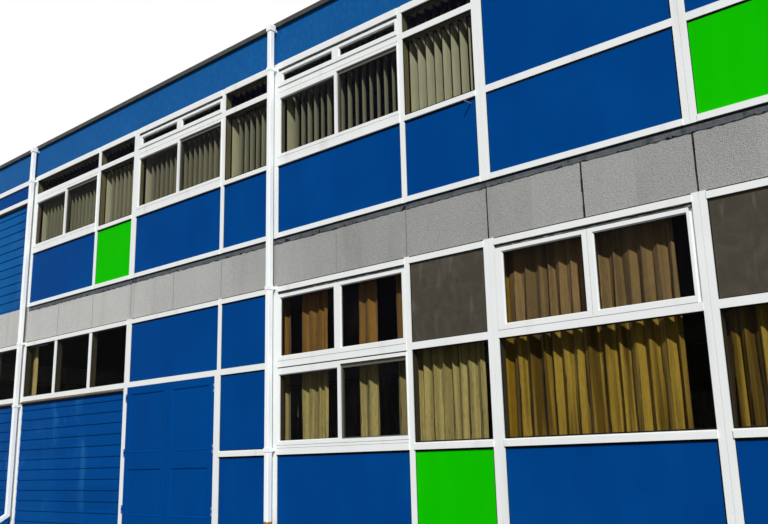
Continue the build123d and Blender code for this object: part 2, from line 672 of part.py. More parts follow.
BLUE_UP, BLUE_DOWN, GREEN = "first_floor_blue_panels", "ground_floor_blue_panels", "green_panels"
FRONT_UPPER = (("boarded", None), ("boarded", None), ("fixed_top", GREEN), ("fanlights", BLUE_UP),
               ("fanlights", BLUE_UP), ("blank", GREEN))
FRONT_LOWER = (("high_windows", None), ("high_windows", None), ("high_windows", None),
               ("doors", BLUE_DOWN), ("sash_rows", GREEN), ("sashes_over_pane", BLUE_DOWN))

for i in range(LONG_UNITS):
    first_floor_unit(FRONT, i, *FRONT_UPPER[i])
    ground_floor_unit(FRONT, i, *FRONT_LOWER[i])
    first_floor_unit(BACK, i, "fanlights", BLUE_UP)
    ground_floor_unit(BACK, i, "sash_rows", BLUE_DOWN)
for side in ENDS:
    for i in range(END_UNITS):
        first_floor_unit(side, i, "boarded", None)
        ground_floor_unit(side, i, "high_windows", None)

# cloth behind the front's ground-floor glass, in modules from the middle of the front
curtains(FRONT, (-3.10, -2.60), ((-3.08, -2.85),))
curtains(FRONT, (2.93, 5.92), ((2.95, 3.10), (3.29, 3.70), (4.18, 4.44), (4.71, 4.86), (4.93, 5.78)))
curtains(FRONT, (5.96, 9.00), ((5.98, 7.70), (7.94, 8.80)))
for i in range(LONG_UNITS):
    start = 3 * i - 9
    curtains(BACK, (start + 0.04, start + 2.96), ((start + 0.06, start + 2.94),))
window_stay(FRONT, STAY_UNIT)

slab("ground_slab", CONCRETE_SET_BACK, PLINTH, PLINTH)
slab("first_floor_slab", CONCRETE_SET_BACK + CONCRETE_THICK, UPPER_BASE, FLOOR_THICK)
slab("roof_deck", FASCIA_SET_BACK + FASCIA_THICK, COPING_UNDER - DECK_DROP, DECK_THICK)
band("concrete_panels", CONCRETE_SET_BACK, CONCRETE_THICK, GROUND_HEAD + RAIL, UPPER_BASE, MODULE, CONCRETE_JOINT)
band("parapet_fascia", FASCIA_SET_BACK, FASCIA_THICK, FASCIA_UNDER, COPING_UNDER, 2 * UNIT, FASCIA_JOINT)
coping()
for side in LONG_SIDES:
    for line, low_socket in PIPE_LINES.items():
        downpipe(side, line * MODULE, low_socket)
flashing(FRONT, -UNIT + POST, LENGTH / 2 - CONCRETE_SET_BACK)
flashing(BACK, -LENGTH / 2 + CONCRETE_SET_BACK, LENGTH / 2 - CONCRETE_SET_BACK)

os.makedirs("parts", exist_ok=True)
for name, shapes in nodes.items():
    solids = [s for shape in shapes for s in shape.solids()]
    whole = solids[0] if len(solids) == 1 else Compound(children=solids)
    whole.label = name
    export_step(whole, os.path.join("parts", name + ".step"))
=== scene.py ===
"""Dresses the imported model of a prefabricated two-storey school block for rendering."""
import math
import random

import bmesh
import bpy
from bpy.props import FloatProperty, FloatVectorProperty, PointerProperty
from mathutils import Matrix, Vector


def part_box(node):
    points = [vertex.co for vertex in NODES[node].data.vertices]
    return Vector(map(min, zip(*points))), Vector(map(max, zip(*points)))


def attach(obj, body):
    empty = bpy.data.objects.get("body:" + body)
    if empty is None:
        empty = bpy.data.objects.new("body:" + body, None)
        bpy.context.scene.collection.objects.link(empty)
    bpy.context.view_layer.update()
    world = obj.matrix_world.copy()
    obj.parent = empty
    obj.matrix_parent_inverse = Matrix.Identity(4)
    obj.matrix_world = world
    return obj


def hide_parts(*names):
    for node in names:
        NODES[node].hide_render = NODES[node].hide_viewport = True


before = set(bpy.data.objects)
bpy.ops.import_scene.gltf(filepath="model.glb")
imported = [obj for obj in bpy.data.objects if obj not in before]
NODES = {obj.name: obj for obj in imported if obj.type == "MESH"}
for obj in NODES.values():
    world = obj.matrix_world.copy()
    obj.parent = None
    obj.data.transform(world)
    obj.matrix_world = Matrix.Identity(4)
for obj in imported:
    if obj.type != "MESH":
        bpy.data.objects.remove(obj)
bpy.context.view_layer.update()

bl_info = {
    "name": "School block dressing",
    "version": (1, 0, 0),
    "blender": (4, 5, 0),
    "location": "View3D > Sidebar > School",
    "description": "Finishes, boards, blinds, curtains and lead for a prefabricated school block",
    "category": "Object",
}

MODULE = 1.016              # planning grid of the walls, and the length of a concrete panel
UNIT = 3 * MODULE           # one framed unit of a wall
STOREY_LINE = (2.9, 3.0)    # heights between which a finish changes from one storey's to the next's
ROOM_SIDE = 0.019           # depth behind the frames' faces at which their room side begins


def srgb(*channels):
    """The linear colour of screen values from 0 to 255."""
    def linear(value):
        value /= 255
        return value / 12.92 if value <= 0.04045 else ((value + 0.055) / 1.055) ** 2.4
    return tuple(linear(c) for c in channels)


# Walls and the solids on them

class Wall:
    """One face of the block. u runs right as seen from outside, v points out of the face, z is up."""

    def __init__(self, centre, turn):
        self.matrix = Matrix.Translation(centre) @ Matrix.Rotation(turn, 4, "Z")
        self.inverse = self.matrix.inverted()

    def at(self, u, v, z):
        """The point in the frame of one on the wall."""
        return self.matrix @ Vector((u, -v, z))

    def local(self, point):
        """The point on the wall of one in the frame."""
        p = self.inverse @ point
        return Vector((p.x, -p.y, p.z))


def wall_faces():
    """The frames' faces, read off the posts, which stand flush with them."""
    low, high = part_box("first_floor_posts")
    return (Wall((0, low.y, 0), 0), Wall((0, high.y, 0), math.pi),
            Wall((low.x, 0, 0), -math.pi / 2), Wall((high.x, 0, 0), math.pi / 2))


FRONT, BACK, LEFT, RIGHT = wall_faces()


class Patch:
    """The box of one solid, measured on the wall that it lies in."""

    def __init__(self, low, high):
        middle, size = (low + high) / 2, high - low
        if size.x > size.y:
            self.wall = FRONT if middle.y < 0 else BACK
        else:
            self.wall = LEFT if middle.x < 0 else RIGHT
        a, b = self.wall.local(low), self.wall.local(high)
        self.u0, self.u1 = sorted((a.x, b.x))
        self.v0, self.v1 = sorted((a.y, b.y))
        self.z0, self.z1 = low.z, high.z
        self.width, self.height = self.u1 - self.u0, self.z1 - self.z0


def patches(node):
    """One Patch for each separate solid of a node, from a merged copy of its mesh."""
    bm = bmesh.new()
    bm.from_mesh(NODES[node].data)
    bmesh.ops.remove_doubles(bm, verts=bm.verts, dist=1e-5)
    left, found = set(bm.verts), []
    while left:
        stack, island = [left.pop()], []
        while stack:
            vert = stack.pop()
            island.append(vert.co.copy())
            for edge in vert.link_edges:
                other = edge.other_vert(vert)
                if other in left:
                    left.remove(other)
                    stack.append(other)
        corners = [[f(p[i] for p in island) for i in range(3)] for f in (min, max)]
        found.append(Patch(Vector(corners[0]), Vector(corners[1])))
    bm.free()
    return sorted(found, key=lambda p: (round(p.wall.matrix.translation.y, 2),
                                        round(p.wall.matrix.translation.x, 2), round(p.z0, 2), p.u0))


# Node trees, for shaders and for geometry

class Wire:
    """A node's output socket, on which Python's operators work."""

    def __init__(self, graph, socket):
        self.graph, self.socket = graph, socket

    def math(self, operation, *values):
        inputs = dict(enumerate(values))
        return self.graph.node("ShaderNodeMath", {"operation": operation}, inputs)

    def __add__(self, other):
        return self.math("ADD", self, other)

    __radd__ = __add__

    def __mul__(self, other):
        return self.math("MULTIPLY", self, other)

    __rmul__ = __mul__

    def __sub__(self, other):
        return self.math("SUBTRACT", self, other)

    def __rsub__(self, other):
        return self.math("SUBTRACT", other, self)

    def __truediv__(self, other):
        return self.math("DIVIDE", self, other)

    def __mod__(self, other):
        return self.math("FLOORED_MODULO", self, other)

    def __lt__(self, other):
        return self.math("LESS_THAN", self, other)

    def __gt__(self, other):
        return self.math("GREATER_THAN", self, other)

    def __abs__(self):
        return self.math("ABSOLUTE", self)

    def floor(self):
        return self.math("FLOOR", self)

    def ramp(self, low, high):
        """0 up to low, 1 from high on, smooth between; low may be the greater."""
        return self.graph.node("ShaderNodeMapRange", {"interpolation_type": "SMOOTHSTEP"},
                               {0: self, 1: low, 2: high, 3: 0.0, 4: 1.0})


class Graph:
    """A node tree under construction."""

    def __init__(self, tree):
        self.tree = tree

    def add(self, kind, settings=None, inputs=None):
        """Any node: its settings first, then the values or links of its sockets."""
        made = self.tree.nodes.new(kind)
        for key, value in (settings or {}).items():
            setattr(made, key, value)
        for key, value in (inputs or {}).items():
            if isinstance(value, Wire):
                self.tree.links.new(value.socket, made.inputs[key])
            else:
                made.inputs[key].default_value = value
        return made

    def node(self, kind, settings=None, inputs=None, out=0):
        """The same, as the Wire of one of its outputs."""
        return Wire(self, self.add(kind, settings, inputs).outputs[out])


MIX_FACTOR, MIX_A, MIX_B, MIX_RESULT = 0, 6, 7, 2    # a Mix node's sockets for colours


def opaque(colour):
    """A colour as a socket takes it: a Wire as it is, three numbers with a full alpha."""
    return colour if isinstance(colour, Wire) else (*colour, 1.0)


class Finish(Graph):
    """A material under construction, on Object coordinates in metres."""

    def __init__(self, name):
        self.material = bpy.data.materials.new(name)
        self.material.use_nodes = True
        super().__init__(self.material.node_tree)
        self.tree.nodes.clear()
        self.place = self.node("ShaderNodeTexCoord", out="Object")
        split = self.add("ShaderNodeSeparateXYZ", inputs={0: self.place})
        self.x, self.y, self.z = (Wire(self, socket) for socket in split.outputs)
        self.along = self.x + self.y

    def stretched(self, across, deep, high):
        """Object coordinates scaled along each axis."""
        return self.node("ShaderNodeVectorMath", {"operation": "MULTIPLY"},
                         {0: self.place, 1: (across, deep, high)})

    def noise(self, scale, detail=2.0, rough=0.5, warp=0.0, where=None):
        """Cloudy values about 0.5."""
        return self.node("ShaderNodeTexNoise", inputs={
            "Vector": where or self.place, "Scale": scale, "Detail": detail, "Roughness": rough,
            "Distortion": warp})

    def cells(self, scale, out="Distance"):
        """Distance from the middle of the nearest cell, or that cell's random colour."""
        return self.node("ShaderNodeTexVoronoi", {"feature": "F1"}, {
            "Vector": self.place, "Scale": scale}, out)

    def grains(self, scale):
        """A random value for each grain of stone."""
        return self.node("ShaderNodeSeparateColor", inputs={0: self.cells(scale, "Color")})

    def chance(self, *steps):
        """A random value for each combination of whole-number steps."""
        vector = self.node("ShaderNodeCombineXYZ", inputs=dict(enumerate(steps)))
        return self.node("ShaderNodeTexWhiteNoise", {"noise_dimensions": "3D"}, {"Vector": vector})

    def mix(self, factor, first, second):
        """Between two colours, by a factor from 0 to 1."""
        return self.node("ShaderNodeMix", {"data_type": "RGBA"}, {
            MIX_FACTOR: factor, MIX_A: opaque(first), MIX_B: opaque(second)}, MIX_RESULT)

    def shade(self, colour, value):
        """A colour made lighter or darker by a value about 1."""
        grey = self.node("ShaderNodeCombineColor", inputs={0: value, 1: value, 2: value})
        return self.node("ShaderNodeMix", {"data_type": "RGBA", "blend_type": "MULTIPLY"}, {
            MIX_FACTOR: 1.0, MIX_A: opaque(colour), MIX_B: grey}, MIX_RESULT)

    def finish(self, colour, roughness, height=None, depth=0.001, alpha=None, metallic=0.0, gloss=0.5,
               sheen=0.0):
        """The finished material, with bumps where a height is given."""
        values = {"Base Color": colour, "Roughness": roughness, "Metallic": metallic,
                  "Specular IOR Level": gloss, "Sheen Weight": sheen}
        if alpha is not None:
            values["Alpha"] = alpha
        if height is not None:
            bumps = {"Height": height, "Distance": depth}
            values["Normal"] = self.node("ShaderNodeBump", inputs=bumps, out="Normal")
        shader = self.node("ShaderNodeBsdfPrincipled", inputs=values)
        self.add("ShaderNodeOutputMaterial", inputs={0: shader})
        return self.material


# Finishes

def white_paint(name, colour, room, white_past=100.0):
    """Gloss on the weather side of the frames; their room side is dull brown below and buff upstairs, and
    white as well where x is past a limit."""
    m = Finish(name)
    cloud = m.noise(2.2, 4.0)
    runs = m.noise(5.0, 3.0, where=m.stretched(1, 1, 0.12))
    specks = m.noise(60.0, 2.0)
    dirt = runs.ramp(0.55, 0.85) * 0.35 + specks.ramp(0.66, 0.8) * 0.35
    base = m.mix(dirt, colour, (0.52, 0.5, 0.46))
    base = m.shade(base, cloud.ramp(0.2, 0.8) * 0.05 + 0.95)
    end, face = RIGHT.at(0, 0, 0).x, BACK.at(0, 0, 0).y
    inside = (abs(m.x) < end - ROOM_SIDE) * (abs(m.y) < face - ROOM_SIDE) * (m.x < white_past)
    room = m.mix(m.z.ramp(*STOREY_LINE), room, srgb(114, 106, 70))
    base = m.mix(inside, base, m.shade(room, cloud * 0.4 + 0.8))
    return m.finish(base, cloud * 0.2 + 0.35, specks, 0.0004, gloss=0.2)


def panel_paint(name, colour, glaze, gloss=0.012):
    """Smooth stove-enamelled sheet, slightly clouded and streaked."""
    m = Finish(name)
    cloud = m.noise(0.9, 3.0, 0.55)
    streaks = m.noise(4.0, 3.0, where=m.stretched(1, 1, 0.1))
    base = m.mix(cloud.ramp(0.35, 0.75) * 0.5, colour, glaze)
    base = m.shade(base, streaks.ramp(0.3, 0.7) * 0.06 + 0.96)
    return m.finish(base, cloud * 0.2 + 0.35, m.noise(180.0, 1.0), 0.0002, gloss=gloss)


def fascia_paint(colour, light):
    """Mottled gloss on the parapet's sheets."""
    m = Finish("fascia_paint")
    mottle = m.noise(26.0, 4.0, 0.65, where=m.stretched(1, 1, 0.55))
    cloud = m.noise(1.3, 3.0)
    base = m.mix(mottle.ramp(0.4, 0.72) * 0.6, colour, light)
    base = m.shade(base, cloud * 0.3 + 0.82)
    return m.finish(base, mottle * 0.25 + 0.4, mottle, 0.0015, gloss=0.04)


def board_paint(name, colour, light, pitch):
    """Gloss over planed softwood: the grain still shows, and the first floor's has faded."""
    m = Finish(name)
    board = (m.z / pitch).floor()
    tone = m.chance(board, (m.along / UNIT).floor(), 0.0)
    grain = m.noise(40.0, 3.0, 0.6, 1.2, where=m.stretched(0.06, 0.06, 1))
    band = m.noise(0.6, 2.0, where=m.stretched(1, 1, 0.15))
    faded = m.z.ramp(*STOREY_LINE) * 0.45
    worn = m.noise(1.1, 4.0, 0.7, 0.8, where=m.stretched(1, 1, 0.5))
    base = m.mix(band.ramp(0.45, 0.7) * 0.55 + faded, colour, light)
    base = m.mix(worn.ramp(0.52, 0.75) * 0.45, base, srgb(44, 116, 176))
    base = m.shade(base, tone * 0.12 + 0.94)
    return m.finish(base, grain * 0.15 + 0.35, grain, 0.0012, gloss=0.01)


def aggregate(colour):
    """Precast panels faced with fine crushed stone, each a little different, with painted shade darkening
    them towards the right.
    """
    m = Finish("aggregate")
    stones = 160.0
    chips = m.grains(stones)
    pits = m.cells(stones)
    stain = m.noise(3.0, 4.0, where=m.stretched(1, 1, 0.15))
    cloud = m.noise(1.4, 4.0)
    panel = m.chance((m.along / MODULE).floor(), 3.0, 0.0)
    # painted shade: the panels grow darker towards the right
    darker = m.x.ramp(-2.0, 5.0) * 0.38
    base = m.shade(colour, chips * 0.34 + 0.83)
    base = m.mix(stain.ramp(0.55, 0.85) * 0.35, base, (0.2, 0.19, 0.175))
    base = m.shade(base, panel * 0.1 + cloud * 0.16 + 1.0 - darker)
    return m.finish(base, 0.92, pits, 0.004, gloss=0.1)


def cast_concrete(colour, inside):
    """Slabs: pale at the edges that show; dark within, partly a dark floor covering and partly painted shade
    of the unlit rooms on floors and soffits.
    """
    m = Finish("cast_concrete")
    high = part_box("ground_slab")[1]
    rim, underside = 0.09, 0.02
    within = (abs(m.x) < high.x - rim) * (abs(m.y) < high.y - rim) * (m.z > underside)
    cloud = m.noise(1.5, 5.0, 0.6)
    grit = m.noise(90.0, 2.0)
    base = m.mix(cloud.ramp(0.3, 0.75), colour, tuple(c * 0.7 for c in colour))
    # painted shade: within the rooms the slabs go dark
    base = m.mix(within, base, inside)
    base = m.shade(base, grit * 0.2 + 0.9)
    return m.finish(base, 0.85, grit, 0.001, gloss=0.2)


def lead_sheet(colour, pale, low, high):
    """Weathered lead, painted black in the recess at its head as the rail's shadow, and as shade where its
    foot stands off the wall.
    """
    m = Finish("lead_sheet")
    bloom = m.noise(5.0, 5.0, 0.6, 0.6)
    runs = m.noise(14.0, 3.0, where=m.stretched(1, 1, 0.15))
    base = m.mix(bloom.ramp(0.4, 0.75) * 0.7, colour, pale)
    black = tuple(c * 0.06 for c in colour)
    base = m.mix(runs.ramp(0.5, 0.75) * 0.7, base, tuple(c * 0.3 for c in colour))
    ragged = m.noise(9.0, 4.0, 0.7)
    # painted shadow under the rail at the head, and painted shade under the foot where it stands off the
    # wall
    head_shadow = (m.z + ragged * 0.012).ramp(high - 0.023, high - 0.018)
    foot_shade = (m.z - ragged.ramp(0.5, 0.72) * 0.045).ramp(low + 0.012, low + 0.004)
    base = m.mix(head_shadow, m.mix(foot_shade, base, black), black)
    return m.finish(base, bloom * 0.3 + 0.45, m.noise(24.0, 4.0, 0.65), 0.008, gloss=0.1)


def coping_metal(colour, pale):
    """Dull folded metal with specks of lichen."""
    m = Finish("coping_metal")
    cloud = m.noise(6.0, 5.0, 0.65)
    lichen = m.noise(45.0, 3.0, 0.6)
    base = m.mix(cloud.ramp(0.35, 0.8), colour, pale)
    base = m.mix(lichen.ramp(0.62, 0.75) * 0.5, base, (0.13, 0.12, 0.08))
    return m.finish(base, cloud * 0.3 + 0.5, lichen, 0.0008, gloss=0.3)


def weathered_timber(colour, dark):
    """Bare softwood gone grey along its grain."""
    m = Finish("weathered_timber")
    grain = m.noise(60.0, 4.0, 0.65, 1.5, where=m.stretched(0.05, 0.05, 1))
    cloud = m.noise(2.0, 3.0)
    base = m.mix(grain.ramp(0.35, 0.7), colour, dark)
    base = m.shade(base, cloud * 0.5 + 0.75)
    return m.finish(base, 0.85, grain, 0.002, gloss=0.2)


def felt(colour, pale, lap, width):
    """Green-grey mineral felt, with bitumen squeezed out along the laps."""
    m = Finish("mineral_felt")
    ponds = m.noise(0.5, 4.0, 0.6)
    base = m.shade(colour, m.grains(500.0) * 0.6 + 0.7)
    base = m.mix(ponds.ramp(0.5, 0.7) * 0.5, base, pale)
    seam = (m.x + m.noise(6.0, 3.0) * 0.04 - lap) / width % 1.0
    base = m.mix(seam.ramp(0.05, 0.03) * 0.8, base, tuple(c * 0.3 for c in colour))
    return m.finish(base, 0.95, m.noise(300.0, 1.0), 0.001, gloss=0.15)


def clear_glass(name, pane_colour_and_painted_sky, cover):
    """Float glass: mostly see-through, with dust; cover is how much of it hides what is behind. Upstairs its
    colour is a navy painted reflection of the sky. The panes of the two ends are obscured."""
    m = Finish(name)
    dust = m.noise(2.0, 4.0, 0.6)
    smears = m.noise(9.0, 3.0, 0.5, 1.0, where=m.stretched(1, 1, 0.4))
    # upstairs the glass turns navy, a painted reflection of the sky
    glass_colour_painted_sky = m.mix(m.z.ramp(*STOREY_LINE), pane_colour_and_painted_sky, srgb(24, 24, 42))
    base = m.mix(dust.ramp(0.5, 0.85) * 0.3 + smears.ramp(0.6, 0.8) * 0.12, glass_colour_painted_sky, (0.08, 0.08, 0.075))
    ends = abs(m.x) > RIGHT.at(0, 0, 0).x - 0.05
    base = m.mix(ends, base, m.shade(srgb(60, 56, 48), dust * 0.6 + 0.7))
    hides = dust.ramp(0.4, 0.9) * 0.05 + ends * (0.97 - cover) + cover
    return m.finish(base, 0.03, alpha=hides, gloss=0.025)


def grey_glass(colour, pale):
    """Obscured panes, dusty on the inside with wiped swirls."""
    m = Finish("grey_glass")
    swirl = m.noise(3.5, 5.0, 0.6, 2.5)
    wiped = m.noise(7.0, 2.0, 0.5, 0.8, where=m.stretched(1, 1, 0.25))
    base = m.mix(swirl.ramp(0.35, 0.8) * 0.7, colour, pale)
    base = m.mix(wiped.ramp(0.5, 0.8) * 0.55, base, srgb(112, 109, 98))
    base = m.shade(base, m.noise(0.7, 2.0) * 0.3 + 0.85)
    return m.finish(base, swirl * 0.2 + 0.2, gloss=0.1)


def brushed_metal(name, colour, roughness, metallic):
    """Metal with upright brush marks."""
    m = Finish(name)
    brush = m.noise(70.0, 3.0, 0.6, where=m.stretched(1, 1, 0.1))
    base = m.shade(colour, brush * 0.4 + 0.8)
    return m.finish(base, brush * 0.2 + roughness, brush, 0.0003, metallic=metallic, gloss=0.4)


def pipe_paint(colour, rust, pale_rust, top):
    """White pipes with faint runs; the front's right one has rusted through at its foot."""
    m = Finish("pipe_paint")
    flakes = m.noise(22.0, 5.0, 0.7)
    cloud = m.noise(5.0, 4.0)
    front_right = (m.x > 0.0) * (m.y < 0.0)
    eaten = (m.z + flakes * 0.05).ramp(top + 0.03, top + 0.015) * front_right
    scale = m.noise(55.0, 4.0, 0.7)
    rusty = m.mix(scale.ramp(0.35, 0.7), rust, pale_rust)
    runs = m.noise(16.0, 3.0, where=m.stretched(1, 1, 0.06))
    base = m.mix(runs.ramp(0.62, 0.85) * 0.25, colour, (0.5, 0.48, 0.42))
    base = m.shade(base, cloud * 0.06 + 0.97)
    base = m.mix(eaten, base, rusty)
    return m.finish(base, eaten * 0.5 + 0.35, scale * eaten + flakes * 0.2, 0.002, gloss=0.2)


def blind_weave(colour, dark, head):
    """Stiffened cloth, lost in shade above the head of the sliding frames."""
    m = Finish("blind_weave")
    weave = m.noise(300.0, 1.0)
    slubs = m.noise(60.0, 2.0, where=m.stretched(1, 1, 0.05))
    fade = m.noise(0.8, 2.0)
    base = m.mix(slubs.ramp(0.4, 0.7) * 0.3, colour, dark)
    # painted shade: the cloth above the head is darkened almost to black
    base = m.shade(base, fade * 0.2 + 0.9 - m.z.ramp(head - 0.02, head + 0.03) * 0.93)
    return m.finish(base, 0.8, weave, 0.0004, gloss=0.1)


def curtain_weave(beige, gold, amber, brown, dark, line):
    """Loosely woven cloth: beige left of a line on the front and gold right of it, both browner in the upper
    lights but for the left half of the block, with a brighter hem strip beside the line. Upright stripes of
    painted light and shade, dark gold to light, stand for the folds' shading."""
    m = Finish("curtain_weave")
    transom = (2.08, 2.16)
    right = m.x.ramp(line - 0.02, line + 0.02)
    upper = m.z.ramp(*transom) * (m.x > 0.0)
    # painted light and shade of the folds, in upright stripes
    fold_light_and_shade = m.noise(11.0, 3.0, 0.6, where=m.stretched(1, 1, 0.03)).ramp(0.36, 0.62)
    gold = m.mix(fold_light_and_shade, srgb(96, 72, 12), gold)
    base = m.mix(upper, m.mix(right, beige, gold), m.mix(right, amber, brown))
    hem = right * m.x.ramp(line + 0.19, line + 0.13)
    base = m.mix(hem, base, srgb(146, 112, 14))
    threads = m.noise(120.0, 2.0, where=m.stretched(1, 1, 0.12))
    cloud = m.noise(2.4, 3.0)
    base = m.mix(threads.ramp(0.45, 0.75) * 0.35, base, dark)
    base = m.shade(base, (cloud * 0.4 + 0.8) * (fold_light_and_shade * 0.5 + 0.7))
    return m.finish(base, 0.85, m.noise(260.0, 2.0), 0.0006, gloss=0.1, sheen=0.1)


def perished(name, colour, pale, bleached=None):
    """Rubber gasket or old mastic, paler where it has dried out, and bleached except at the right end."""
    m = Finish(name)
    age = m.noise(14.0, 5.0, 0.65)
    base = m.mix(age.ramp(0.45, 0.75), colour, pale)
    if bleached:
        base = m.mix(m.x.ramp(6.2, 4.4), base, bleached)
    return m.finish(base, 0.8, m.noise(80.0, 3.0), 0.001, gloss=0.1)


# Meshes

def dress(nodes, material):
    """Gives CAD nodes a finish by their material slots."""
    for name in nodes:
        slots = NODES[name].data.materials
        slots.clear()
        slots.append(material)


def mesh_of(bm, name):
    """The plain mesh of a bmesh, which is freed."""
    mesh = bpy.data.meshes.new(name)
    bm.to_mesh(mesh)
    bm.free()
    return mesh


def piece(name, bm, material, smooth=False):
    """A finished bmesh as a piece on the building."""
    bmesh.ops.recalc_face_normals(bm, faces=bm.faces)
    return piece_from_mesh(name, mesh_of(bm, name), material, smooth)


def piece_from_mesh(name, mesh, material, smooth=False):
    """The same from a mesh, which keeps the material that it has."""
    mesh.name = name
    if not mesh.materials:
        mesh.materials.append(material)
    mesh.polygons.foreach_set("use_smooth", [smooth] * len(mesh.polygons))
    made = bpy.data.objects.new(name, mesh)
    bpy.context.scene.collection.objects.link(made)
    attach(made, "building")
    return made


def tube(bm, rings, capped=True):
    """Joins rings of vertices, each to the next, and closes both ends."""
    for a, b in zip(rings[:-1], rings[1:]):
        for j in range(len(a)):
            k = (j + 1) % len(a)
            bm.faces.new((a[j], a[k], b[k], b[j]))
    if capped:
        bm.faces.new(rings[0])
        bm.faces.new(rings[-1])


def sweep(bm, wall, u0, u1, section):
    """Runs a closed section of (v, z) points along a wall from u0 to u1."""
    tube(bm, [[bm.verts.new(wall.at(u, v, z)) for v, z in section] for u in (u0, u1)])


def picture_frame(bm, patch, section, sides):
    """Mitres a section of (inset, v) points round a patch; sides scale it at left, right, foot and head."""
    rings = []
    left, right, foot, head = sides
    for inset, v in section:
        u0, u1 = patch.u0 + left * inset, patch.u1 - right * inset
        z0, z1 = patch.z0 + foot * inset, patch.z1 - head * inset
        corners = ((u0, z0), (u1, z0), (u1, z1), (u0, z1))
        rings.append([bm.verts.new(patch.wall.at(u, v, z)) for u, z in corners])
    tube(bm, rings + rings[:1], capped=False)


def ragged_strip(bm, wall, u0, u1, z0, z1, back, face, rng, bite):
    """A strip of old sealant with an uneven face and free edge; z1 is the free edge and may be the lower."""
    step, swell = 0.05, 0.35
    count = max(2, int((u1 - u0) / step))
    rings = []
    for i in range(count + 1):
        u = u0 + (u1 - u0) * i / count
        edge = z1 + (z0 - z1) * bite * rng.random() ** 1.5
        out = face + swell * (face - back) * rng.uniform(-1, 1)
        section = ((back, z0), (out, z0), (out, edge), (back, edge))
        rings.append([bm.verts.new(wall.at(u, v, z)) for v, z in section])
    tube(bm, rings)


def fill_grid(bm, grid):
    """Faces between the rows of a grid of vertices."""
    for upper, lower in zip(grid[:-1], grid[1:]):
        for i in range(len(upper) - 1):
            bm.faces.new((upper[i], lower[i], lower[i + 1], upper[i + 1]))


# Geometry Nodes

def repeat_tree(name):
    """Copies the incoming mesh along a straight line, each turned about the vertical with a small random
    part. The last copy may be cut down to a share of the height."""
    tree = bpy.data.node_groups.new(name, "GeometryNodeTree")
    sockets = (("Geometry", "Geometry", None), ("Start", "Vector", (0.0, 0.0, 0.0)),
               ("Step", "Vector", (0.0, 0.0, 1.0)), ("Count", "Int", 2), ("Turn", "Float", 0.0),
               ("Turn spread", "Float", 0.0), ("Last height", "Float", 1.0), ("Seed", "Int", 1),
               ("Material", "Material", None))
    for label, kind, default in sockets:
        made = tree.interface.new_socket(label, in_out="INPUT", socket_type="NodeSocket" + kind)
        if default is not None:
            made.default_value = default
    tree.interface.new_socket("Geometry", in_out="OUTPUT", socket_type="NodeSocketGeometry")
    g = Graph(tree)
    source = g.add("NodeGroupInput")
    given = {label: Wire(g, source.outputs[label]) for label, _, _ in sockets}
    line = g.node("GeometryNodeMeshLine", {"mode": "OFFSET"}, {
        "Count": given["Count"], "Start Location": given["Start"], "Offset": given["Step"]})
    index = g.node("GeometryNodeInputIndex")
    spread = g.node("FunctionNodeRandomValue", {"data_type": "FLOAT"}, {
        2: given["Turn spread"] * -1.0, 3: given["Turn spread"], "ID": index, "Seed": given["Seed"]}, 1)
    turn = g.node("ShaderNodeCombineXYZ", inputs={2: given["Turn"] + spread})
    last = index > given["Count"] - 1.5
    height = last * (given["Last height"] - 1.0) + 1.0
    scale = g.node("ShaderNodeCombineXYZ", inputs={0: 1.0, 1: 1.0, 2: height})
    copies = g.node("GeometryNodeInstanceOnPoints", inputs={
        "Points": line, "Instance": given["Geometry"], "Rotation": turn, "Scale": scale})
    real = g.node("GeometryNodeRealizeInstances", inputs={"Geometry": copies})
    painted = g.node("GeometryNodeSetMaterial", inputs={"Geometry": real, "Material": given["Material"]})
    g.add("NodeGroupOutput", inputs={0: painted})
    return tree


def run_tree(tree, mesh, values):
    """The plain mesh that a tree makes of a mesh and its named inputs."""
    holder = bpy.data.objects.new("holder", mesh)
    bpy.context.scene.collection.objects.link(holder)
    modifier = holder.modifiers.new("repeat", "NODES")
    modifier.node_group = tree
    names = {item.name: item.identifier for item in tree.interface.items_tree if item.in_out == "INPUT"}
    for label, value in values.items():
        modifier[names[label]] = value
    bpy.context.view_layer.update()
    graph = bpy.context.evaluated_depsgraph_get()
    made = bpy.data.meshes.new_from_object(holder.evaluated_get(graph), preserve_all_data_layers=True,
                                           depsgraph=graph)
    bpy.data.objects.remove(holder)
    bpy.data.meshes.remove(mesh)
    return made


def join_meshes(meshes):
    """One bmesh out of several meshes, which are removed."""
    bm = bmesh.new()
    for mesh in meshes:
        bm.from_mesh(mesh)
        bpy.data.meshes.remove(mesh)
    return bm


# Properties

def length(label, text, metres):
    return FloatProperty(name=label, description=text, default=metres, unit="LENGTH")


def angle(label, text, degrees):
    return FloatProperty(name=label, description=text, default=math.radians(degrees), subtype="ANGLE")


def colour(label, text, *screen):
    return FloatVectorProperty(name=label, description=text, subtype="COLOR", size=3, min=0, max=1,
                               default=srgb(*screen))


class SchoolSizes(bpy.types.PropertyGroup):
    """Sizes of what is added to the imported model."""
    board_pitch: length("Board pitch", "Height of one board that shows", 0.153)
    board_lip: length("Board lip", "How far a board's foot stands over the next", 0.009)
    vane_width: length("Vane width", "Width of one blind vane", 0.127)
    vane_spacing: length("Vane spacing", "Distance between vanes", 0.112)
    vane_turn: angle("Vane turn", "Turn of the wide lights' vanes from the wall's plane", 112)
    narrow_turn: angle("Narrow turn", "The same of the first vanes and of one narrow light's", 84)
    closed_turn: angle("Closed turn", "The same of the drawn blinds at the back", 24)
    fold_pitch: length("Fold pitch", "Mean distance between curtain folds", 0.062)
    gasket: length("Gasket", "Width of the rubber round panes and panels", 0.009)
    felt_width: length("Felt width", "Width of one sheet of roof felt", 1.0)


